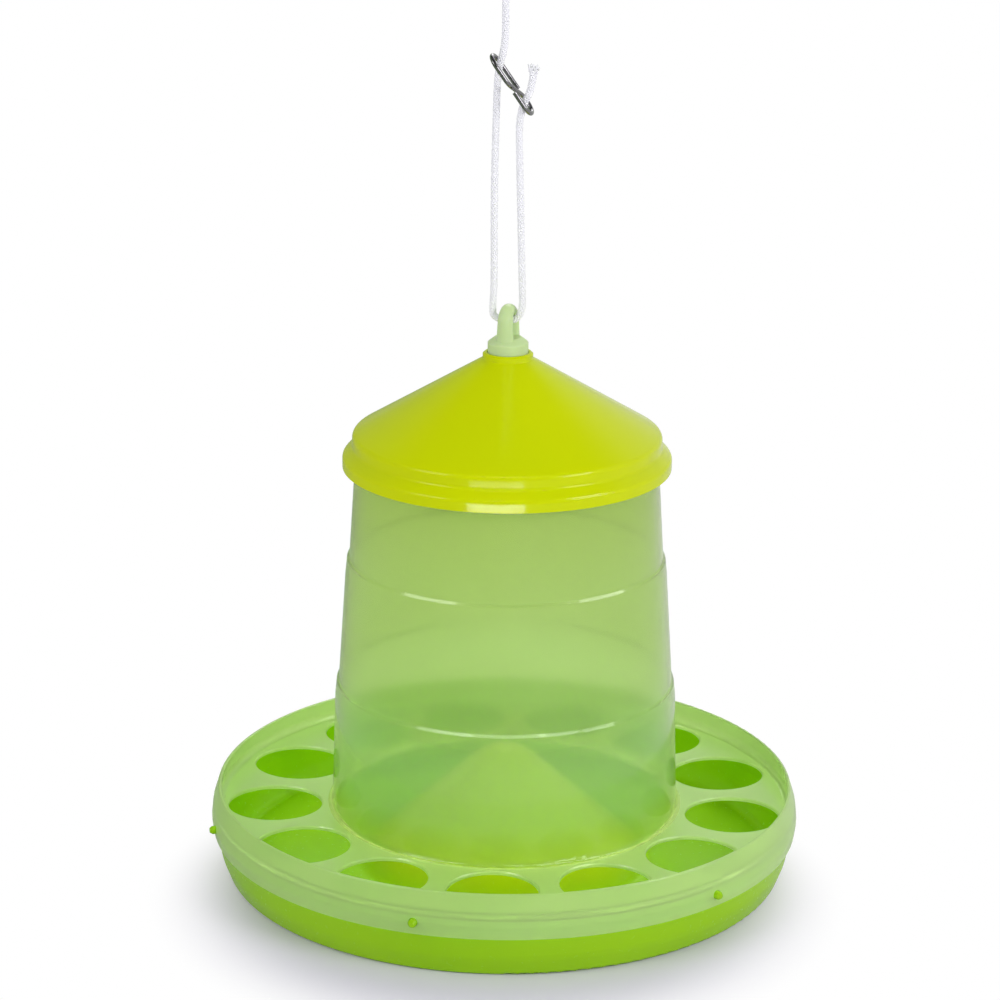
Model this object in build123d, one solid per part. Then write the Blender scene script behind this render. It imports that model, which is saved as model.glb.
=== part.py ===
from build123d import *
import math
import os

# Hanging poultry feeder, millimetres, +Z up.
# The feeder stands on its flat base at z = 0, centred on the Z axis.
# Hopper and feed ring are one translucent moulding, snapped on an opaque
# base pan with a feed cone. A cone lid rests on the hopper's mouth; the
# hanging eye comes up through it. A braided rope runs through the eye and
# through both loops of an S-hook, which sets the hanging height.

# Sizes of the feed ring, which is one moulding with the hopper
skirt_r = 165.0             # outer radius of the skirt's lower edge
ring_plate_z = 33.6         # underside of the plate = top of the pan's rim
ring_plate_t = 2.0          # plate with the feeding holes
ring_wall = 2.0             # rim and skirt
skirt_z = ring_plate_z - 9.6             # lower edge of the skirt
skirt_belly_r = skirt_r + 0.9            # widest outer radius
skirt_belly_z = ring_plate_z - 3.1
rim_mid_r = skirt_r
rim_mid_z = ring_plate_z + 4.9
rim_top_r = skirt_r - 3.1
rim_top_z = ring_plate_z + 14.7
rim_hollow = 3.6            # hollow blend between plate and rim
rim_edge_round = 0.9
ring_bend_round = 12.0      # soft bends of rim and skirt

# Base pan
pan_wall = 2.2              # floor, wall and cone thickness
pan_skirt_gap = 0.35        # clearance between pan wall and skirt
pan_foot_r = skirt_r - 8.2               # outer radius where it stands
pan_foot_round = 3.0        # outer radius between floor and wall
pan_floor_round = 6.0       # inner radius between floor and wall
pan_bulge_r = skirt_r - 4.0              # outer radius a third of the way up
pan_bulge_z = ring_plate_z * 0.3274
pan_bulge_round = 18.0

# Hopper: three tiers, each a little wider than the one above
hopper_wall = 1.8
hopper_foot_r = 97.6        # outer radius where it joins the plate
tier2_z = 109.7             # height of the lower step
tier2_r_low = hopper_foot_r - 2.9        # outer radius just under that step
tier2_r_up = tier2_r_low - 1.2           # outer radius just over it
tier1_z = 181.3             # height of the upper step
tier1_r_low = tier2_r_up - 5.0
tier1_r_up = tier1_r_low - 1.3
step_h = 1.4                # height of each slanted step
shoulder_h = 9.0            # soft shoulder under each step
shoulder_out = 0.9
mouth_r = tier1_r_up - 3.9               # outer radius of the mouth
mouth_z = 243.0             # top of the hopper = seat of the lid
bead_out = 2.1              # stiffening bead round the mouth
bead_h = 2.2
bead_slope_h = 1.7          # height over which the bead runs out downwards
foot_blend = 3.0            # blend between hopper wall and plate

# Feed cone, on top of the pan's floor
cone_foot_r = hopper_foot_r - 15.6
cone_rise = 75.5            # height of the cone's sharp apex over the floor
cone_nose_r = 26.0          # rounding of the cone's nose
cone_foot_blend = 8.0

# Feeding holes, as long as the plate allows
hole_count = 13
hole_rim_land = 6.5         # plate left between a hole and the rim
hole_foot_land = 5.9        # plate left between a hole and the hopper
hole_bridge = 12.83         # plate left between two holes, at the ring's middle
hole_angle = 156.44         # degrees, one hole's bearing
hole_edge = 0.6             # broken upper edge
cut_over = 1.0              # cutters run past the faces by this much

# Snap pegs of the pan in the skirt
peg_count = 6
peg_d = 4.6
peg_tip_d = 2.6
peg_taper = 1.4             # length of the tapered tip
peg_z = ring_plate_z - 2.8
peg_angle = 13.3
peg_out = 3.0               # stands out of the skirt by this much
peg_gap = 0.3               # clearance round a peg

# Lid
lid_wall = 1.8
lid_bore_gap = 0.4          # clearance round the hanger's collar
lid_lip_w = 2.3             # width of the lip round the bore
lid_cone_top = mouth_z + 51.4            # where the cone meets the lip
lid_lip_top = lid_cone_top + 3.5
lid_lip_chamfer = 1.2
lid_lip_root = 0.6          # blend between lip and cone
lid_shoulder_r = mouth_r + 2.0           # outer radius of the short wall
lid_shoulder_z = mouth_z + 8.6
lid_shoulder_round = 3.6
lid_neck_round = 2.4
lid_neck_z = mouth_z + 2.0               # where the brim starts to flare
lid_brim_r = lid_shoulder_r + 5.4
lid_brim_z = mouth_z - 3.4
lid_brim_round = 3.0
lid_edge_z = mouth_z - 9.3               # lower edge of the brim
lid_seat_w = 2.3            # flat seat on the hopper's mouth

# Hanger: eye, collar, stem and crossbar in one piece
collar_d = 22.3
collar_top = lid_lip_top + 5.4
collar_low = lid_lip_top - 6.9
collar_neck_h = 6.0         # taper from collar to stem
collar_crown_r = collar_d / 2 - 3.75     # the collar's top slopes in to this
collar_crown_z = collar_top + 2.9
collar_round = 0.8
stem_d = collar_d - 9.3
bar_w = 12.0                # crossbar across the hopper's mouth
bar_h = 8.0
bar_round = 1.5
bar_top = mouth_z - 2.0
bar_end_gap = 0.7           # bar end to the hopper's inner wall
tongue_w = 8.0              # tongues in the hopper's wall
tongue_h = 4.4
tongue_z = mouth_z - 7.1                 # middle of the tongue
tongue_out = 1.4
tongue_root = 2.0           # overlap of tongue and bar
slot_gap = 0.3
web_len = 34.0              # gussets between stem and bar
web_h = 26.0
web_t = 3.0
web_sink = 1.0              # the gusset starts inside the bar
eye_half = 6.0              # leg centre line to axis
eye_foot_wid = 10.0         # section of the eye's legs, along the hole
eye_top_wid = 7.4           # the same at the eye's top
eye_thk = 6.4
eye_foot_sink = 2.0         # the legs start inside the collar
eye_top = collar_top + 21.2
eye_turn = -16.0            # the eye is turned about Z

# Rope and its fittings
rope_d = 4.0
hook_wire = 2.5
hook_half_w = 6.25          # wire centre line to the hook's middle line
hook_len = 39.5             # overall
hook_upper_loop = 18.0      # from the upper end to the diagonal
hook_lower_loop = 10.5      # from the lower end to the diagonal
hook_bend_r = 7.0           # bends of the diagonal
hook_upper_tip = 24.4       # how far each free end reaches back
hook_upper_in = 0.3
hook_lower_tip = 16.2
hook_lower_in = 0.6
hook_x = -10.4              # upper end of the hook
hook_z = eye_top + 136.1
hook_lean = 55.1            # slope of the hook under the horizontal
hook_twist = 8.5            # turn about its own length
knot_d = 11.5
knot_h = 14.0
knot_round = 3.0
knot_z = hook_z + 39.4                   # underside of the knot
loop_w = 24.0
loop_h = 44.0
loop_leg_h = 17.0           # height where the loop's legs stop spreading
loop_foot_half = 2.4        # half the legs' spread on the knot
loop_foot_r = 9.0

# Sizes worked out from the ones above
plate_top = ring_plate_z + ring_plate_t
skirt_in_r = skirt_r - ring_wall
pan_rim_r = skirt_in_r - pan_skirt_gap
hole_out_r = skirt_in_r - hole_rim_land
hole_in_r = hopper_foot_r + hole_foot_land
hole_ring_r = (hole_out_r + hole_in_r) / 2
hole_len = hole_out_r - hole_in_r        # along the radius
hole_wid = 2 * math.pi * hole_ring_r / hole_count - hole_bridge

os.makedirs("parts", exist_ok=True)


def save(name, shape):
    """Write one node and return its solid."""
    solid = max(shape.solids(), key=lambda s: s.volume)
    solid.label = name
    export_step(solid, os.path.join("parts", name + ".step"))
    return solid


def outline(points, nose=()):
    """Closed (radius, height) outline; nose = arcs that close it at the axis."""
    edges = Polyline(*[(float(r), float(z)) for r, z in points], close=not nose)
    for arc in nose:
        edges += arc
    return make_face(edges.edges())


def spin(face, rounds=()):
    """Revolve an outline about Z; rounds = [(corner, radius)]."""
    for where, radius in rounds:
        corner = min(face.vertices(), key=lambda v: math.dist((v.X, v.Y), where))
        face = fillet(corner, radius)
    return revolve(Plane.XZ * face, Axis.Z)


def radius_at(height, low, high):
    """Radius at a height on the straight line between two outline points."""
    (r0, z0), (r1, z1) = low, high
    return r0 + (r1 - r0) * (height - z0) / (z1 - z0)


def round_the_axis(count, first, shape):
    """Copies of a shape at even bearings about Z."""
    return [Rot(0, 0, first + i * 360.0 / count) * shape for i in range(count)]


def rod(diameter, length):
    """Cylinder that lies along +X and starts at x = 0."""
    return Rot(0, 90, 0) * Cylinder(diameter / 2, length, align=(Align.CENTER, Align.CENTER, Align.MIN))


# Base pan: floor, wall and feed cone of one thickness, and the snap pegs
cone_slope = math.atan2(cone_rise, cone_foot_r)
floor_under_cone = pan_wall / math.cos(cone_slope) - pan_wall
# the cone's nose is a ball of radius cone_nose_r, tangent to the cone
ball_z = pan_wall + cone_rise - cone_nose_r / math.cos(cone_slope)
pan_floor_r = pan_foot_r - 1.6 * pan_wall


def on_ball(radius, angle):
    return (radius * math.sin(angle), ball_z + radius * math.cos(angle))


def ball_arc(radius, start, end):
    return ThreePointArc(on_ball(radius, start), on_ball(radius, cone_slope / 2), on_ball(radius, end))


nose_in_r = cone_nose_r - pan_wall
pan = spin(
    outline(
        [
            on_ball(cone_nose_r, cone_slope),
            (cone_foot_r, pan_wall),
            (pan_floor_r, pan_wall),
            (pan_bulge_r - pan_wall, pan_bulge_z),
            (pan_rim_r - pan_wall, skirt_z),
            (pan_rim_r - pan_wall, ring_plate_z),
            (pan_rim_r, ring_plate_z),
            (pan_rim_r, skirt_z),
            (pan_bulge_r, pan_bulge_z),
            (pan_foot_r, 0),
            (cone_foot_r - floor_under_cone / math.tan(cone_slope), 0),
            on_ball(nose_in_r, cone_slope),
        ],
        nose=[
            ball_arc(cone_nose_r, 0, cone_slope),
            ball_arc(nose_in_r, cone_slope, 0),
            Line(on_ball(nose_in_r, 0), on_ball(cone_nose_r, 0)),
        ],
    ),
    rounds=[
        ((cone_foot_r, pan_wall), cone_foot_blend),
        ((pan_floor_r, pan_wall), pan_floor_round),
        ((pan_bulge_r - pan_wall, pan_bulge_z), pan_bulge_round),
        ((pan_bulge_r, pan_bulge_z), pan_bulge_round),
        ((pan_foot_r, 0), pan_foot_round),
    ],
)
peg_start = pan_rim_r - 0.6 * pan_wall
peg_end = radius_at(peg_z, (skirt_r, skirt_z), (skirt_belly_r, skirt_belly_z)) + peg_out
peg_shaft = peg_end - peg_start - peg_taper
tip = Cone(peg_d / 2, peg_tip_d / 2, peg_taper, align=(Align.CENTER, Align.CENTER, Align.MIN))
peg = rod(peg_d, peg_shaft) + Pos(peg_shaft, 0, 0) * (Rot(0, 90, 0) * tip)
for placed in round_the_axis(peg_count, peg_angle, Pos(peg_start, 0, peg_z) * peg):
    pan += placed
save("base_pan", pan)

# Hopper with its feed ring: one outline, then the holes
wall = hopper_wall
step_up = step_h / 2
wall_drop = 0.4 * wall      # keeps the wall's thickness at the slanted steps
bead_low = mouth_z - bead_h - bead_slope_h
tier1_top = (tier1_r_up, tier1_z + step_up)
hopper_outside = [
    (mouth_r + bead_out, mouth_z),
    (mouth_r + bead_out, mouth_z - bead_h),
    (radius_at(bead_low, tier1_top, (mouth_r, mouth_z)), bead_low),
    tier1_top,
    (tier1_r_low, tier1_z - step_up),
    (tier1_r_low + shoulder_out, tier1_z - shoulder_h),
    (tier2_r_up, tier2_z + step_up),
    (tier2_r_low, tier2_z - step_up),
    (tier2_r_low + shoulder_out, tier2_z - shoulder_h),
    (hopper_foot_r, plate_top),
]
feed_ring = [
    (rim_mid_r - ring_wall, plate_top),
    (rim_top_r - ring_wall, rim_top_z),
    (rim_top_r, rim_top_z),
    (rim_mid_r, rim_mid_z),
    (skirt_belly_r, skirt_belly_z),
    (skirt_r, skirt_z),
    (skirt_in_r, skirt_z),
    (skirt_belly_r - ring_wall, skirt_belly_z),
    (skirt_belly_r - ring_wall - 0.2, ring_plate_z),
]
hopper_inside = [
    (hopper_foot_r - wall, ring_plate_z),
    (tier2_r_low + shoulder_out - wall, tier2_z - shoulder_h),
    (tier2_r_low - wall, tier2_z - step_up - wall_drop),
    (tier2_r_up - wall, tier2_z + step_up - wall_drop),
    (tier1_r_low + shoulder_out - wall, tier1_z - shoulder_h),
    (tier1_r_low - wall, tier1_z - step_up - wall_drop),
    (tier1_r_up - wall, tier1_z + step_up - wall_drop),
    (mouth_r - wall, mouth_z),
]
hopper = spin(
    outline(hopper_outside + feed_ring + hopper_inside),
    rounds=[
        ((hopper_foot_r, plate_top), foot_blend),
        ((rim_mid_r - ring_wall, plate_top), rim_hollow),
        ((rim_top_r, rim_top_z), rim_edge_round),
        ((rim_top_r - ring_wall, rim_top_z), rim_edge_round),
        ((rim_mid_r, rim_mid_z), ring_bend_round),
        ((skirt_belly_r, skirt_belly_z), ring_bend_round),
    ],
)


def hole_shape(height, grow=0.0):
    return Pos(hole_ring_r, 0, height) * Ellipse(hole_len / 2 + grow, hole_wid / 2 + grow)


through = extrude(hole_shape(ring_plate_z - cut_over), ring_plate_t + 2 * cut_over)
flare = loft([
    hole_shape(plate_top - hole_edge).face(),
    hole_shape(plate_top + cut_over, hole_edge + cut_over).face(),
])
for cutter in (through, flare):
    for placed in round_the_axis(hole_count, hole_angle, cutter):
        hopper -= placed
bore_start = skirt_in_r - 3 * ring_wall
peg_bore = Pos(bore_start, 0, peg_z) * rod(peg_d + 2 * peg_gap, 6 * ring_wall)
for placed in round_the_axis(peg_count, peg_angle, peg_bore):
    hopper -= placed
slot = Box(4 * wall, tongue_w + 2 * slot_gap, tongue_h + 2 * slot_gap)
for placed in round_the_axis(2, 0, Pos(mouth_r - wall / 2, 0, tongue_z) * slot):
    hopper -= placed
save("hopper", hopper)

# Lid: cone, short wall and flared brim, with a lip round the bore
bore_r = collar_d / 2 + lid_bore_gap
lip_r = bore_r + lid_lip_w
lid_in_r = lid_shoulder_r - lid_wall
lid_rise = (lid_cone_top - lid_shoulder_z) / (lid_shoulder_r - lip_r)
lid_sink = lid_wall * math.sqrt(1 + lid_rise ** 2)
lid = spin(
    outline([
        (bore_r, lid_lip_top),
        (lip_r - lid_lip_chamfer, lid_lip_top),
        (lip_r, lid_lip_top - 0.8 * lid_lip_chamfer),
        (lip_r, lid_cone_top),
        (lid_shoulder_r, lid_shoulder_z),
        (lid_shoulder_r, lid_neck_z),
        (lid_brim_r, lid_brim_z),
        (lid_brim_r, lid_edge_z),
        (lid_brim_r - lid_wall, lid_edge_z),
        (lid_brim_r - lid_wall, lid_brim_z - 0.4),
        (lid_in_r + lid_seat_w, mouth_z),
        (lid_in_r, mouth_z),
        (lid_in_r, lid_shoulder_z + lid_wall * lid_rise - lid_sink),
        (bore_r, lid_cone_top + lid_lip_w * lid_rise - lid_sink),
    ]),
    rounds=[
        ((lid_shoulder_r, lid_shoulder_z), lid_shoulder_round),
        ((lid_brim_r, lid_brim_z), lid_brim_round),
        ((lid_shoulder_r, lid_neck_z), lid_neck_round),
        ((lip_r, lid_cone_top), lid_lip_root),
    ],
)
save("lid", lid)

# Hanger: turned collar and stem, crossbar with tongues, gussets and eye
bar_half = mouth_r - wall - bar_end_gap
bar_low = bar_top - bar_h
hanger = spin(
    outline([
        (0, collar_crown_z),
        (collar_crown_r, collar_crown_z),
        (collar_d / 2, collar_top),
        (collar_d / 2, collar_low),
        (stem_d / 2, collar_low - collar_neck_h),
        (stem_d / 2, bar_low),
        (0, bar_low),
    ]),
    rounds=[((collar_d / 2, collar_top), collar_round), ((collar_d / 2, collar_low), collar_round)],
)
bar = Pos(0, 0, bar_top - bar_h / 2) * Box(2 * bar_half, bar_w, bar_h)
hanger += fillet(bar.edges().filter_by(Axis.X), bar_round)
tongue_len = mouth_r + tongue_out - bar_half + tongue_root
tongue = Box(tongue_len, tongue_w, tongue_h, align=(Align.MIN, Align.CENTER, Align.CENTER))
tongue = Pos(bar_half - tongue_root, 0, tongue_z) * tongue
web_low = bar_top - web_sink
web = make_face(Polyline((0, web_low), (web_len, web_low), (0, bar_top + web_h), close=True))
web = extrude(Plane.XZ * web, web_t / 2, both=True)
for placed in round_the_axis(2, 0, tongue) + round_the_axis(2, 0, web):
    hanger += placed

eye_foot_z = collar_top - eye_foot_sink
eye_arc_z = eye_top - eye_thk / 2 - eye_half
eye_arc_top = (0, 0, eye_arc_z + eye_half)
half_arc = eye_half * math.sqrt(0.5)


def eye_side(side):
    """One leg and its quarter bend, tapering to the eye's top."""
    leg = (0, side * eye_half, eye_foot_z)
    bend = (0, side * eye_half, eye_arc_z)
    path = Line(leg, bend)
    path += ThreePointArc(bend, (0, side * half_arc, eye_arc_z + half_arc), eye_arc_top)
    at_foot = Plane(origin=leg, x_dir=(1, 0, 0), z_dir=(0, 0, 1))
    at_top = Plane(origin=eye_arc_top, x_dir=(1, 0, 0), z_dir=(0, -side, 0))
    foot = at_foot * Ellipse(eye_foot_wid / 2, eye_thk / 2)
    top = at_top * Ellipse(eye_top_wid / 2, eye_thk / 2)
    return sweep([foot.face(), top.face()], path=path, multisection=True)


for side in (-1, 1):
    hanger += Rot(0, 0, eye_turn) * eye_side(side)
save("hanger", hanger)

# S-hook: round wire, drawn flat and then leaned and twisted into place
wire_r = hook_wire / 2
half_w = hook_half_w
far_end = hook_len - wire_r
end_bend_r = half_w - 0.15
wire_points = [
    (hook_upper_tip, half_w - hook_upper_in),
    (wire_r, half_w),
    (wire_r, -half_w),
    (hook_upper_loop, -half_w),
    (hook_len - hook_lower_loop, half_w),
    (far_end, half_w),
    (far_end, -half_w),
    (hook_len - hook_lower_tip, hook_lower_in - half_w),
]
wire_path = FilletPolyline(
    *[(along, across, 0) for along, across in wire_points],
    radius=[end_bend_r, end_bend_r, hook_bend_r, hook_bend_r, end_bend_r, end_bend_r],
)
wire = sweep(Plane(origin=wire_path @ 0, z_dir=wire_path % 0) * Circle(wire_r), path=wire_path)
lean = math.radians(hook_lean)
twist = math.radians(hook_twist)
along_hook = Vector(math.cos(lean), 0, -math.sin(lean))
off_hook = Vector(math.sin(lean), 0, math.cos(lean))
across_hook = Vector(0, 1, 0) * math.cos(twist) + off_hook * math.sin(twist)
hook_frame = Plane(origin=(hook_x, 0, hook_z), x_dir=along_hook, z_dir=along_hook.cross(across_hook))
save("s_hook", hook_frame * wire)

# Rope: from its free tail through the hook's lower end, down to the eye,
# through it, up through the hook's upper end and into the knot
rope_points = [
    (12.3, -2.2, hook_z - 7.3),
    (12.1, -2.4, hook_z - 17.6),
    (4.8, -2.4, hook_z - 30.3),
    (7.5, -2.15, eye_top - 8.9),
    (-8.2, 2.4, eye_top - 8.9),
    (-8.6, 2.6, eye_top - 1.0),
    (-7.7, 2.4, eye_top + 8.5),
    (-8.2, 2.5, eye_top + 59.5),
    (-7.0, 2.4, hook_z - 10.4),
    (-2.7, 2.4, hook_z + 4.4),
    (-2.7, 2.4, knot_z),
]
eye_radii = {3: 4.3, 4: 4.0}             # the two tight bends in the eye


def rope_radii(points, given):
    """Bend radius at each inner point, as large as its two runs allow."""
    radii = []
    for i in range(1, len(points) - 1):
        before = Vector(*points[i]) - Vector(*points[i - 1])
        after = Vector(*points[i + 1]) - Vector(*points[i])
        turn = before.get_angle(after)
        largest = 0.45 * min(before.length, after.length) / math.tan(math.radians(turn / 2))
        radii.append(given.get(i, largest))
        print("rope point", i, "turn", round(turn, 1), "radius", round(radii[-1], 1))
    return radii


def tube(points, radii, diameter):
    line = FilletPolyline(*points, radius=radii)
    solid = sweep(Plane(origin=line @ 0, z_dir=line % 0) * Circle(diameter / 2), path=line)
    filled = math.pi * diameter ** 2 / 4 * line.length
    share = solid.volume / filled
    print("tube length", round(line.length, 1), "volume over section x length", round(share, 4))
    return solid


save("rope", tube(rope_points, rope_radii(rope_points, eye_radii), rope_d))

# Knot and hanging loop, tied in the same rope above
knot_x, knot_y, _ = rope_points[-1]
knot = Cylinder(knot_d / 2, knot_h, align=(Align.CENTER, Align.CENTER, Align.MIN))
knot = fillet(knot.edges().filter_by(GeomType.CIRCLE), knot_round)
save("rope_knot", Pos(knot_x, knot_y, knot_z) * knot)

loop_bend_r = loop_w / 2 - 0.3
loop_points = [
    (-loop_foot_half, 0, 0),
    (-loop_w / 2, 0, loop_leg_h),
    (-loop_w / 2, 0, loop_h),
    (loop_w / 2, 0, loop_h),
    (loop_w / 2, 0, loop_leg_h),
    (loop_foot_half, 0, 0),
]
loop = tube(loop_points, [loop_foot_r, loop_bend_r, loop_bend_r, loop_foot_r], rope_d)
# both legs of the loop end on the knot's flat top
loop -= Box(2 * loop_w, 2 * loop_w, loop_w, align=(Align.CENTER, Align.CENTER, Align.MAX))
save("rope_loop", Pos(knot_x, knot_y, knot_z + knot_h) * loop)
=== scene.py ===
# Hanging poultry feeder: camera, braided rope, plastics, wire, floor and light,
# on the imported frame. Metres, +Z up.
import math

import bmesh
import bpy
from mathutils import Matrix, Vector


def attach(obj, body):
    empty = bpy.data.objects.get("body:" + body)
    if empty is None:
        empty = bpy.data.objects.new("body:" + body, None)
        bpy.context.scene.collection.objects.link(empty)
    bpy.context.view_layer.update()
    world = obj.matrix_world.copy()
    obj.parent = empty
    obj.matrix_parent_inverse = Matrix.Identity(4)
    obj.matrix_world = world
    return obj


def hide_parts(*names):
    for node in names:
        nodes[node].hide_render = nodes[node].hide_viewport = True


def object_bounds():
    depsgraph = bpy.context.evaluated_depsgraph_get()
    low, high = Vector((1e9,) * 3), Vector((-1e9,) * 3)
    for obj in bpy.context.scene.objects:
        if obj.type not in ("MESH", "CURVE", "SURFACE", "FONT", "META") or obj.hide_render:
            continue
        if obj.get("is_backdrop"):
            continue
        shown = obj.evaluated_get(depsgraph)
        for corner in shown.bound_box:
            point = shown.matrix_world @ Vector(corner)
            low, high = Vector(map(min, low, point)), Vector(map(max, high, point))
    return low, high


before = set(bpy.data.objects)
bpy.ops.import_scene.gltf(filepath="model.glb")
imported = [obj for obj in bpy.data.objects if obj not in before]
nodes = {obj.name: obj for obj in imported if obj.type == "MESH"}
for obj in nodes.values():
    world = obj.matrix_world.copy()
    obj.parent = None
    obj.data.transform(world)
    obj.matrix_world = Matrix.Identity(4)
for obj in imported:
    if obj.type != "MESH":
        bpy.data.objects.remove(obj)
cad_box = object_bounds()
mm = 0.001

# Camera, fitted to the photograph's outline
camera_place = (-0.00375, -1.6905, 0.7367)
camera_down = 17.21         # degrees under the horizontal
camera_roll = 0.44
camera_lens = 115.2         # millimetres, as the sensor's width
camera_sensor = 36
camera_near = 0.05
camera_far = 60

# Rope: a round braid on a core
yarn_r = 0.55 * mm
yarn_ride_r = 1.36 * mm     # yarn centre to the cord's centre line
yarn_weave = 0.15 * mm      # how far a yarn dips under the other set
yarn_lay = 14 * mm          # length of one turn
yarns_each_way = 6
core_r = 1.35 * mm
braid_step = 0.55 * mm
fray_len = 3.5 * mm         # the tail's yarns open over this length
fray_spread = 1.6 * mm

# Where the feed ring starts on the hopper's moulding
ring_from_r = 100.0 * mm
ring_under_z = 33.7 * mm

# Where the tints turn, by height or by distance from the feeder's axis
# Near the mouth the hopper's wall turns darker and yellower: painted shade and painted yellow
# light from the lid
mouth_painted_shade_z = (160 * mm, 250 * mm)
low_wall_tint_z = (125 * mm, 85 * mm)
foot_tint_z = (62 * mm, 38 * mm)
cone_tint_r = (88 * mm, 66 * mm)

# Grain of the surfaces: noise waves in a metre, and the depth of their relief
peel_waves = 420
peel_depth = 0.4 * mm
spangle_waves = 900
fibre_waves = 2600
fibre_depth = 0.1 * mm

# Floor: how far it reaches each way, and where the paper under the feeder, with its cast shadow
# and painted shade, turns plain white
floor_reach = 8
cast_and_painted_shade_centre = (-0.004, -0.05, 0)
cast_and_painted_shade_fade_r = (0.124, 0.196)

# Room: the directions over which it darkens overhead and behind the camera,
# and the stretch across which its mirror image turns from dull to bright
overhead_z = (0.55, 0.85)
behind_camera_y = (-0.25, -0.65)
dull_to_bright_x = (-0.3, 0.3)

rope_route = [  # millimetres, from the tail at the hook, through the eye, to the knot
    (12.3, -2.2, 453.3),
    (12.1, -2.4, 443.0),
    (4.8, -2.4, 430.3),
    (5.4, -2.4, 404.0),
    (7.2, -2.2, 341.0),
    (8.0, -2.15, 315.4),
    (-8.2, 2.4, 315.4),
    (-8.6, 2.6, 323.5),
    (-7.7, 2.4, 333.0),
    (-8.2, 2.5, 384.0),
    (-7.2, 2.4, 434.0),
    (-6.6, 2.4, 451.5),
    (-2.7, 2.4, 465.0),
    (-2.7, 2.4, 483.0),
    (-2.7, 2.4, 500.0),
]
loop_route = [
    (-5.1, 2.4, 513.0),
    (-14.7, 2.4, 531.0),
    (-15.4, 2.4, 546.0),
    (-13.8, 2.4, 558.0),
    (8.4, 2.4, 558.0),
    (10.0, 2.4, 546.0),
    (9.3, 2.4, 531.0),
    (-0.3, 2.4, 513.0),
]


def knot_route(turns=3, steps=12, grip=3.72, top=511.6, drop=9.2):
    """Up the knot's middle, round itself downwards, and out at the top."""
    x, y = -2.7, 2.4
    route = [(x, y, 499.0), (x, y, 502.0), (-2.2, y, 506.0)]
    route += [(-1.0, 2.2, 510.4), (0.4, 1.4, top)]
    count = steps * turns - 3
    for i in range(count):
        bearing = math.radians(-10 - 360 / steps * i)
        pull = grip + 0.06 * math.sin(2.3 * i)
        height = top - drop * i / (count - 1)
        route.append((x + pull * math.cos(bearing), y + pull * math.sin(bearing), height))
    route += [(-4.4, 4.6, 501.8), (-3.9, 3.4, 503.4), (-3.6, 2.8, 507.0)]
    return route + [(-4.6, y, 511.0), (-5.2, y, 514.5)]


def set_camera():
    lens = bpy.data.cameras.new("view")
    lens.sensor_width = camera_sensor
    lens.lens = camera_lens
    lens.clip_start = camera_near
    lens.clip_end = camera_far
    seat = bpy.data.objects.new("view", lens)
    tilt = Matrix.Rotation(math.radians(90 - camera_down), 4, "X")
    roll = Matrix.Rotation(math.radians(camera_roll), 4, "Z")
    seat.matrix_world = Matrix.Translation(camera_place) @ tilt @ roll
    bpy.context.scene.collection.objects.link(seat)
    bpy.context.scene.camera = seat


def mesh_of(curve):
    """The mesh that Blender makes of a curve."""
    holder = bpy.data.objects.new("line", curve)
    bpy.context.scene.collection.objects.link(holder)
    bpy.context.view_layer.update()
    mesh = bpy.data.meshes.new_from_object(holder)
    bpy.data.objects.remove(holder)
    return mesh


def centre_line(name, route):
    """Points read from the smooth spline through a route."""
    curve = bpy.data.curves.new(name, "CURVE")
    curve.dimensions = "3D"
    curve.resolution_u = 40
    run = curve.splines.new("NURBS")
    run.points.add(len(route) - 1)
    for point, (x, y, z) in zip(run.points, route):
        point.co = (x * mm, y * mm, z * mm, 1)
    run.order_u = 3
    run.use_endpoint_u = True
    mesh = mesh_of(curve)
    line = [v.co.copy() for v in mesh.vertices]
    bpy.data.meshes.remove(mesh)
    return line


def even_steps(points, step):
    """The same line at even steps of its length, and that length."""
    total = sum((b - a).length for a, b in zip(points, points[1:]))
    count = max(8, round(total / step))
    stride = total / count
    out, gone = [points[0].copy()], 0.0
    for a, b in zip(points, points[1:]):
        piece = (b - a).length
        while piece > 0 and gone + piece >= stride * len(out) and len(out) < count:
            out.append(a.lerp(b, (stride * len(out) - gone) / piece))
        gone += piece
    return out + [points[-1].copy()], total


def carried_frames(points):
    """Place, tangent and two side directions at each point, without twist."""
    side = None
    for i, place in enumerate(points):
        ahead = points[min(len(points) - 1, i + 1)] - points[max(0, i - 1)]
        tangent = ahead.normalized()
        side = side or tangent.orthogonal()
        side = (side - tangent * side.dot(tangent)).normalized()
        yield place, tangent, side, tangent.cross(side)


def run_of(curve, places, radius=1.0):
    run = curve.splines.new("POLY")
    run.points.add(len(places) - 1)
    for point, place in zip(run.points, places):
        point.co = (*place, 1)
        point.radius = radius


def yarn_places(stations, stride, hand, k, frayed):
    """Yarn k of the set that winds one way; at a frayed start it opens out and back."""
    spread = 0.6 + 0.5 * math.sin(7 * k + hand)
    reach = 0.8 + 0.6 * math.sin(5 * k + 2 * hand)
    places = []
    for i, (place, tangent, side, other) in enumerate(stations):
        phase = 2 * math.pi * i * stride / yarn_lay
        turn = hand * phase + 2 * math.pi * k / yarns_each_way
        dip = math.cos(yarns_each_way * phase + math.pi * k)
        radius = yarn_ride_r + yarn_weave * hand * dip
        if frayed:
            opening = fray_spread * max(0.0, 1 - i * stride / fray_len)
            radius += opening * spread
            place = place - tangent * opening * reach
        places.append(place + (side * math.cos(turn) + other * math.sin(turn)) * radius)
    return places


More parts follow.
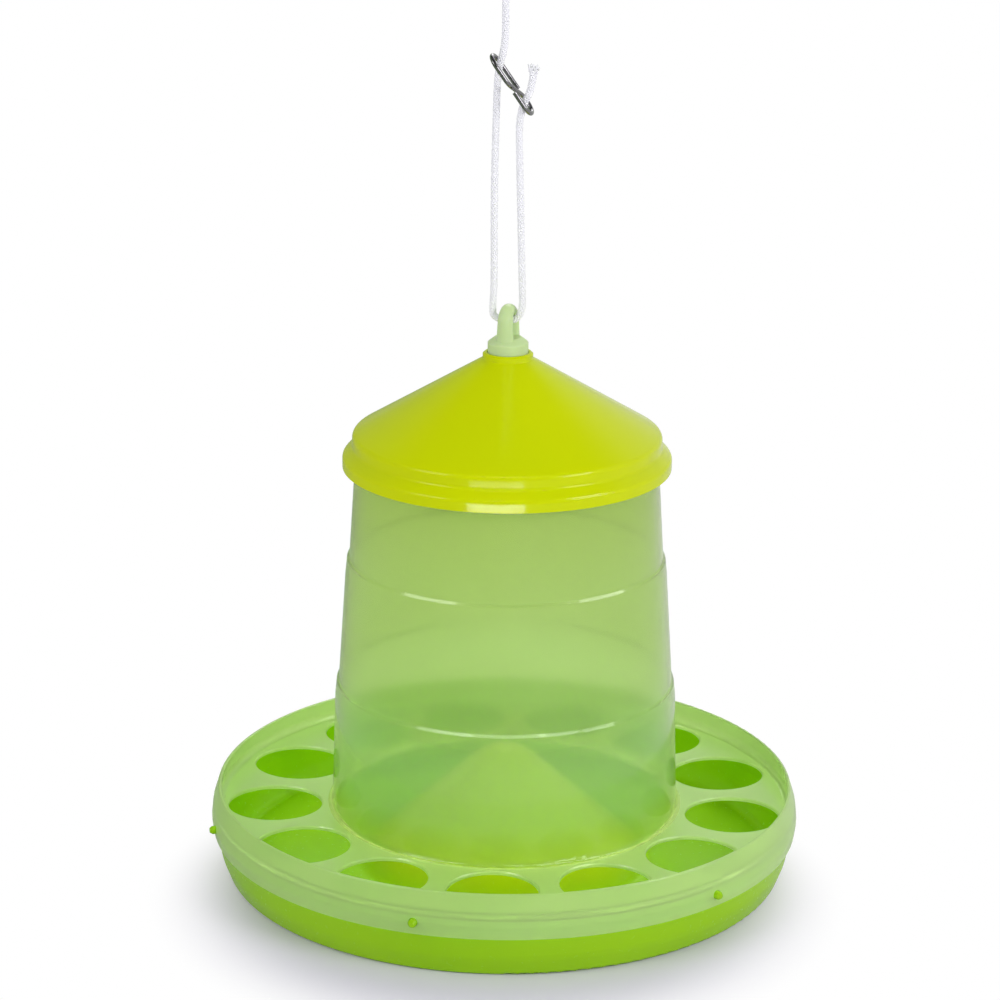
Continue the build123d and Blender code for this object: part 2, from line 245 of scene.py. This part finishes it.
def braided_cord(name, line, frayed=False):
    """Two sets of yarns wound against each other, over and under, on a core.
    Returns the piece and the length of its centre line."""
    steps, total = even_steps(line, braid_step)
    stations = list(carried_frames(steps))
    stride = total / (len(steps) - 1)
    cord = bpy.data.curves.new(name, "CURVE")
    cord.dimensions = "3D"
    cord.bevel_depth = yarn_r
    cord.bevel_resolution = 1
    cord.use_fill_caps = True
    for hand in (1, -1):
        for k in range(yarns_each_way):
            run_of(cord, yarn_places(stations, stride, hand, k, frayed))
    run_of(cord, steps, radius=core_r / yarn_r)
    mesh = mesh_of(cord)
    mesh.name = name
    mesh.shade_smooth()
    piece = bpy.data.objects.new(name, mesh)
    bpy.context.scene.collection.objects.link(piece)
    return piece, total


def ride_as(piece, node):
    """The piece stands for a rope node of the frame."""
    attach(piece, "root")
    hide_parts(node)


set_camera()
rope_line = centre_line("rope_line", rope_route)
rope, rope_length = braided_cord("rope_braid", rope_line, frayed=True)
knot, _ = braided_cord("knot_braid", centre_line("knot_line", knot_route()))
loop, _ = braided_cord("loop_braid", centre_line("loop_line", loop_route))
ride_as(rope, "rope")
ride_as(knot, "rope_knot")
ride_as(loop, "rope_loop")
tuple(c * mm for c in rope_route[0])
[tuple(p) for p in rope_line]


def colour(r, g, b):
    """A colour as it looks on a screen, 0 to 255, made linear."""
    shown = (r / 255, g / 255, b / 255)
    return tuple(c / 12.92 if c <= 0.04045 else ((c + 0.055) / 1.055) ** 2.4 for c in shown) + (1,)


def join(tree, start, end):
    tree.links.new(start, end)


def new_group(name, takes, gives):
    """Node group with its named sockets, and its two end nodes."""
    group = bpy.data.node_groups.new(name, "ShaderNodeTree")
    sockets = group.interface
    for label, kind, value in takes:
        socket = sockets.new_socket(name=label, in_out="INPUT", socket_type="NodeSocket" + kind)
        socket.default_value = value
    for label, kind in gives:
        sockets.new_socket(name=label, in_out="OUTPUT", socket_type="NodeSocket" + kind)
    return group, group.nodes.new("NodeGroupInput"), group.nodes.new("NodeGroupOutput")


def noise(tree, at, scale, detail=2.0):
    node = tree.nodes.new("ShaderNodeTexNoise")
    node.inputs["Detail"].default_value = detail
    join(tree, at, node.inputs["Vector"])
    if isinstance(scale, (int, float)):
        node.inputs["Scale"].default_value = scale
    else:
        join(tree, scale, node.inputs["Scale"])
    return node.outputs["Fac"]


def ramp(tree, value, start, end, low=0.0, high=1.0, soft=False):
    """Map value from start..end to low..high, clamped."""
    node = tree.nodes.new("ShaderNodeMapRange")
    if soft:
        node.interpolation_type = "SMOOTHSTEP"
    join(tree, value, node.inputs["Value"])
    limits = {"From Min": start, "From Max": end, "To Min": low, "To Max": high}
    for label, number in limits.items():
        node.inputs[label].default_value = number
    return node.outputs["Result"]


def maths(tree, operation, a, b):
    node = tree.nodes.new("ShaderNodeMath")
    node.operation = operation
    for socket, value in zip(node.inputs, (a, b)):
        if isinstance(value, (int, float)):
            socket.default_value = value
        else:
            join(tree, value, socket)
    return node.outputs[0]


def blend(tree, share, a, b):
    node = tree.nodes.new("ShaderNodeMix")
    node.data_type = "RGBA"
    join(tree, share, node.inputs["Factor"])
    for label, value in (("A", a), ("B", b)):
        if isinstance(value, tuple):
            node.inputs[label].default_value = value
        else:
            join(tree, value, node.inputs[label])
    return node.outputs["Result"]


def mixed_surface(tree, share, start, end, output="Material Output"):
    """Send out the start shader where share is 0 and the end shader where it is 1."""
    mix = tree.nodes.new("ShaderNodeMixShader")
    join(tree, share, mix.inputs[0])
    join(tree, start.outputs[0], mix.inputs[1])
    join(tree, end.outputs[0], mix.inputs[2])
    join(tree, mix.outputs[0], tree.nodes[output].inputs["Surface"])


def moulded_skin():
    """Node group: cloudy tint, fine orange peel and uneven gloss of moulded plastic."""
    takes = [
        ("Deep", "Color", (0.3, 0.5, 0.1, 1)),
        ("Pale", "Color", (0.5, 0.7, 0.3, 1)),
        ("Roughness", "Float", 0.3),
        ("Cloud Scale", "Float", 9.0),
    ]
    gives = [("Colour", "Color"), ("Roughness", "Float"), ("Height", "Float")]
    group, enter, leave = new_group("moulded skin", takes, gives)
    at = group.nodes.new("ShaderNodeTexCoord").outputs["Object"]
    cloud = ramp(group, noise(group, at, enter.outputs["Cloud Scale"]), 0.3, 0.7)
    peel = noise(group, at, peel_waves, detail=3)
    cloudy = blend(group, cloud, enter.outputs["Deep"], enter.outputs["Pale"])
    join(group, cloudy, leave.inputs["Colour"])
    uneven = maths(group, "ADD", enter.outputs["Roughness"], ramp(group, peel, 0, 1, -0.04, 0.04))
    join(group, uneven, leave.inputs["Roughness"])
    join(group, peel, leave.inputs["Height"])
    return group


skin = moulded_skin()


def new_material(name):
    material = bpy.data.materials.new(name)
    material.use_nodes = True
    tree = material.node_tree
    return material, tree, tree.nodes["Principled BSDF"]


def bumped(tree, shader, height, strength, distance):
    node = tree.nodes.new("ShaderNodeBump")
    node.inputs["Strength"].default_value = strength
    node.inputs["Distance"].default_value = distance
    join(tree, height, node.inputs["Height"])
    join(tree, node.outputs["Normal"], shader.inputs["Normal"])


def plastic(name, deep, pale, rough, ior, bump=0.004):
    """Moulded plastic; returns the material, its tree, shader and skin."""
    material, tree, shader = new_material(name)
    surface = tree.nodes.new("ShaderNodeGroup")
    surface.node_tree = skin
    surface.inputs["Deep"].default_value = colour(*deep)
    surface.inputs["Pale"].default_value = colour(*pale)
    surface.inputs["Roughness"].default_value = rough
    join(tree, surface.outputs["Colour"], shader.inputs["Base Color"])
    join(tree, surface.outputs["Roughness"], shader.inputs["Roughness"])
    bumped(tree, shader, surface.outputs["Height"], bump, peel_depth)
    shader.inputs["IOR"].default_value = ior
    return material, tree, shader, surface


def glow_inside(shader, weight, depth):
    shader.inputs["Subsurface Weight"].default_value = weight
    shader.inputs["Subsurface Scale"].default_value = depth
    shader.inputs["Subsurface Radius"].default_value = (0.8, 1.0, 0.35)


def let_lamps_through(tree, shader, tint):
    """Lamps shine through the wall and tint what stands behind it."""
    path = tree.nodes.new("ShaderNodeLightPath")
    through = tree.nodes.new("ShaderNodeBsdfTransparent")
    through.inputs["Color"].default_value = colour(*tint)
    mixed_surface(tree, path.outputs["Is Shadow Ray"], shader, through)


def place_on_part(tree):
    """Height of a point, and its distance from the feeder's axis."""
    at = tree.nodes.new("ShaderNodeTexCoord").outputs["Object"]
    split = tree.nodes.new("ShaderNodeSeparateXYZ")
    join(tree, at, split.inputs[0])
    flat = tree.nodes.new("ShaderNodeCombineXYZ")
    join(tree, split.outputs["X"], flat.inputs["X"])
    join(tree, split.outputs["Y"], flat.inputs["Y"])
    length = tree.nodes.new("ShaderNodeVectorMath")
    length.operation = "LENGTH"
    join(tree, flat.outputs[0], length.inputs[0])
    return split.outputs["Z"], length.outputs["Value"]


def pan_plastic():
    """Opaque leaf green; the feed cone is a little yellower than the trough."""
    material, tree, shader, surface = plastic(
        "opaque pan green", (144, 197, 12), (154, 203, 20), 0.26, ior=1.28
    )
    _, out = place_on_part(tree)
    cone = ramp(tree, out, *cone_tint_r, soft=True)
    tint = blend(tree, cone, surface.outputs["Colour"], colour(174, 198, 4))
    join(tree, tint, shader.inputs["Base Color"])
    glow_inside(shader, 0.12, 4 * mm)
    return material


def see_through(tree, shader, share, tint):
    """A translucent wall with a thin gloss; lamps shine through it."""
    shader.inputs["Transmission Weight"].default_value = share
    shader.inputs["Coat Weight"].default_value = 0.5
    shader.inputs["Coat Roughness"].default_value = 0.07
    shader.inputs["Coat IOR"].default_value = 1.45
    let_lamps_through(tree, shader, tint)


def hopper_plastic():
    """Milky green that shows the cone and pan behind it, paler low on the wall, with painted shade
    at the mouth.
    """
    material, tree, shader, surface = plastic(
        "milky hopper green", (202, 222, 156), (207, 226, 165), 0.20, ior=1.16, bump=0.002
    )
    height, _ = place_on_part(tree)
    # Painted shade: the wall darkens and yellows towards the mouth, in place of the lid's shade
    # and yellow light
    mouth_shade = ramp(tree, height, *mouth_painted_shade_z, soft=True)
    wall = blend(tree, mouth_shade, surface.outputs["Colour"], colour(199, 217, 140))
    low = ramp(tree, height, *low_wall_tint_z, soft=True)
    paler = blend(tree, low, wall, colour(212, 234, 182))
    foot = ramp(tree, height, *foot_tint_z, soft=True)
    tint = blend(tree, foot, paler, colour(216, 234, 140))
    join(tree, tint, shader.inputs["Base Color"])
    see_through(tree, shader, 0.86, (246, 250, 232))
    return material


def ring_plastic():
    """The same plastic in the feed ring, where it is thicker and hazier."""
    material, tree, shader, _ = plastic(
        "milky ring green", (194, 223, 139), (202, 228, 151), 0.40, ior=1.26
    )
    see_through(tree, shader, 0.55, (242, 249, 222))
    return material


def lid_plastic():
    """Saturated lime, barely translucent."""
    material, tree, shader, _ = plastic("lid lime", (201, 216, 0), (207, 220, 0), 0.14, ior=1.28)
    glow_inside(shader, 0.10, 3 * mm)
    let_lamps_through(tree, shader, (130, 145, 10))
    return material


def hanger_plastic():
    """The hopper's plastic in a thick section, where it looks milky."""
    material, tree, shader, _ = plastic(
        "milky hanger green", (198, 221, 158), (205, 226, 168), 0.34, ior=1.36
    )
    glow_inside(shader, 0.5, 4 * mm)
    return material


def hook_wire():
    """Bright zinc on drawn wire."""
    material, tree, shader = new_material("bright zinc wire")
    at = tree.nodes.new("ShaderNodeTexCoord").outputs["Object"]
    spangle = noise(tree, at, spangle_waves)
    zinc = blend(tree, spangle, colour(123, 120, 125), colour(153, 150, 156))
    join(tree, zinc, shader.inputs["Base Color"])
    join(tree, ramp(tree, spangle, 0, 1, 0.16, 0.34), shader.inputs["Roughness"])
    shader.inputs["Metallic"].default_value = 1.0
    return material


def cord_yarn():
    """White twisted yarn with a soft sheen."""
    material, tree, shader = new_material("white braided yarn")
    at = tree.nodes.new("ShaderNodeTexCoord").outputs["Object"]
    fibre = noise(tree, at, fibre_waves)
    white = blend(tree, fibre, colour(240, 241, 243), colour(255, 255, 255))
    join(tree, white, shader.inputs["Base Color"])
    bumped(tree, shader, fibre, 0.35, fibre_depth)
    shader.inputs["Roughness"].default_value = 0.62
    shader.inputs["Sheen Weight"].default_value = 0.25
    return material


def dress(piece, material):
    piece.data.materials.clear()
    piece.data.materials.append(material)


def dress_hopper(moulding):
    """The ring's own finish starts where the hopper's foot meets the plate. A face
    has it if it lies wholly outside the foot or wholly below it."""
    mesh = moulding.data
    dress(moulding, hopper_plastic())
    mesh.materials.append(ring_plastic())
    for face in mesh.polygons:
        corners = [mesh.vertices[i].co for i in face.vertices]
        outside = min(math.hypot(c.x, c.y) for c in corners) > ring_from_r
        if outside or max(c.z for c in corners) < ring_under_z:
            face.material_index = 1


dress(nodes["base_pan"], pan_plastic())
dress_hopper(nodes["hopper"])
dress(nodes["lid"], lid_plastic())
dress(nodes["hanger"], hanger_plastic())
dress(nodes["s_hook"], hook_wire())
yarn = cord_yarn()
for cord_piece in (rope, knot, loop):
    dress(cord_piece, yarn)


def seen_or_mirrored(tree):
    """1 for camera, glossy and transmission rays, 0 for the light that falls."""
    path = tree.nodes.new("ShaderNodeLightPath").outputs
    mirrored = maths(tree, "MAXIMUM", path["Is Glossy Ray"], path["Is Transmission Ray"])
    return maths(tree, "MAXIMUM", path["Is Camera Ray"], mirrored)


def tinted_in_gloss(tree, across):
    """White as seen; gloss mirrors it duller and greener, most on the left. A rough
    refraction counts as both glossy and transmission, and stays white."""
    path = tree.nodes.new("ShaderNodeLightPath").outputs
    gloss = maths(tree, "SUBTRACT", path["Is Glossy Ray"], path["Is Transmission Ray"])
    mirrored = ramp(tree, gloss, 0, 1)
    loss = ramp(tree, across, *dull_to_bright_x, 0.76, 0.30)
    share = maths(tree, "MULTIPLY", mirrored, loss)
    return blend(tree, share, (1, 1, 1, 1), (0.06, 0.17, 0, 1))


def white_paper_floor():
    """Paper that takes the feeder's shadow near it, deepened by painted shade, and is plain white
    beyond.
    """
    sheet = bmesh.new()
    bmesh.ops.create_grid(sheet, x_segments=2, y_segments=2, size=floor_reach)
    mesh = bpy.data.meshes.new("floor")
    sheet.to_mesh(mesh)
    sheet.free()
    floor = bpy.data.objects.new("floor", mesh)
    bpy.context.scene.collection.objects.link(floor)
    floor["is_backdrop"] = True
    material, tree, shader = new_material("paper with painted shade")
    # Painted shade: the paper is grey-lilac, not white, so the shadow near the feeder comes out
    # deeper and bluer
    shader.inputs["Base Color"].default_value = (0.77, 0.72, 0.86, 1)
    shader.inputs["Roughness"].default_value = 0.9
    shader.inputs["Specular IOR Level"].default_value = 0.1
    at = tree.nodes.new("ShaderNodeTexCoord").outputs["Object"]
    away = tree.nodes.new("ShaderNodeVectorMath")
    away.operation = "DISTANCE"
    join(tree, at, away.inputs[0])
    away.inputs[1].default_value = cast_and_painted_shade_centre
    beyond = ramp(tree, away.outputs["Value"], *cast_and_painted_shade_fade_r, soft=True)
    across = tree.nodes.new("ShaderNodeSeparateXYZ")
    join(tree, at, across.inputs[0])
    plain = tree.nodes.new("ShaderNodeEmission")
    join(tree, tinted_in_gloss(tree, across.outputs["X"]), plain.inputs["Color"])
    white = maths(tree, "MULTIPLY", seen_or_mirrored(tree), beyond)
    mixed_surface(tree, white, shader, plain)
    dress(floor, material)


def studio_air():
    """Plain light from all round; what is seen and mirrored is a white room,
    dark overhead and behind the camera."""
    world = bpy.data.worlds.new("studio")
    bpy.context.scene.world = world
    world.use_nodes = True
    tree = world.node_tree
    light = tree.nodes["Background"]
    light.inputs["Color"].default_value = (0.96, 0.98, 1.0, 1)
    light.inputs["Strength"].default_value = 0.5
    way = tree.nodes.new("ShaderNodeSeparateXYZ")
    join(tree, tree.nodes.new("ShaderNodeTexCoord").outputs["Generated"], way.inputs[0])
    overhead = ramp(tree, way.outputs["Z"], *overhead_z, 1.0, 0.05, soft=True)
    front = ramp(tree, way.outputs["Y"], *behind_camera_y, 1.0, 0.22, soft=True)
    shaded = maths(tree, "MULTIPLY", overhead, front)
    room = tree.nodes.new("ShaderNodeBackground")
    join(tree, tinted_in_gloss(tree, way.outputs["X"]), room.inputs["Color"])
    join(tree, shaded, room.inputs["Strength"])
    mixed_surface(tree, seen_or_mirrored(tree), light, room, output="World Output")


def soft_box(name, place, aim, width, height, watts):
    lamp = bpy.data.lights.new(name, "AREA")
    lamp.shape = "RECTANGLE"
    lamp.size = width
    lamp.size_y = height
    lamp.energy = watts
    box = bpy.data.objects.new(name, lamp)
    box.location = place
    box.rotation_euler = (Vector(aim) - Vector(place)).to_track_quat("-Z", "Y").to_euler()
    bpy.context.scene.collection.objects.link(box)
    return box


def glint_strip(name, place, aim, width, height, watts, shown_in):
    """A lamp that only the gloss of the named pieces shows."""
    strip = soft_box(name, place, aim, width, height, watts)
    strip.visible_camera = False
    strip.visible_diffuse = False
    strip.visible_transmission = False
    pieces = bpy.data.collections.new(name + " shows in")
    for node in shown_in:
        pieces.objects.link(nodes[node])
    strip.light_linking.receiver_collection = pieces


white_paper_floor()
studio_air()

# Lamps: name, place, aim, width, height and watts
soft_box("key_right", (1.45, -1.1, 1.05), (0, 0, 0.12), 0.8, 0.8, 14)
soft_box("fill_left", (-1.4, -0.9, 1.1), (0, 0, 0.15), 0.8, 0.8, 7)
soft_box("back", (0.2, 1.5, 1.5), (0, 0, 0.15), 0.9, 0.9, 9)
front = soft_box("front_low", (-0.12, -2.1, 0.42), (0, 0, 0.24), 1.3, 0.30, 6)
front.visible_glossy = False

# Highlights: bright arcs along the hopper's two steps, and a patch on the lid's brim
low_step = (0, -0.09, 0.11)
low_step_left = (-0.03, -0.09, 0.11)
low_step_right = (0.03, -0.09, 0.11)
high_step_left = (-0.045, -0.08, 0.18)
high_step_right = (0.06, -0.05, 0.18)
brim = (-0.01, -0.097, 0.2366)
glint_strip("step_mid", (0.04, -0.86, 1.48), low_step, 1.1, 0.12, 3, ("hopper", "lid"))
glint_strip("step_mid_left", (-0.68, -0.70, 1.42), low_step_left, 0.5, 0.25, 4, ("hopper",))
glint_strip("step_mid_right", (0.72, -0.69, 1.42), low_step_right, 0.6, 0.25, 4, ("hopper",))
glint_strip("step_left", (-0.9, -0.23, 1.39), high_step_left, 0.7, 0.5, 8, ("hopper",))
glint_strip("step_right", (1.12, 0.0, 1.32), high_step_right, 1.0, 0.5, 12, ("hopper",))
glint_strip("brim", (-0.027, -0.25, 0.186), brim, 0.145, 0.010, 0.11, ("lid",))

bpy.context.scene.view_settings.view_transform = "Standard"

boxes = {"cad": cad_box, "visual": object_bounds()}
{name: [list(corner) for corner in box] for name, box in boxes.items()}
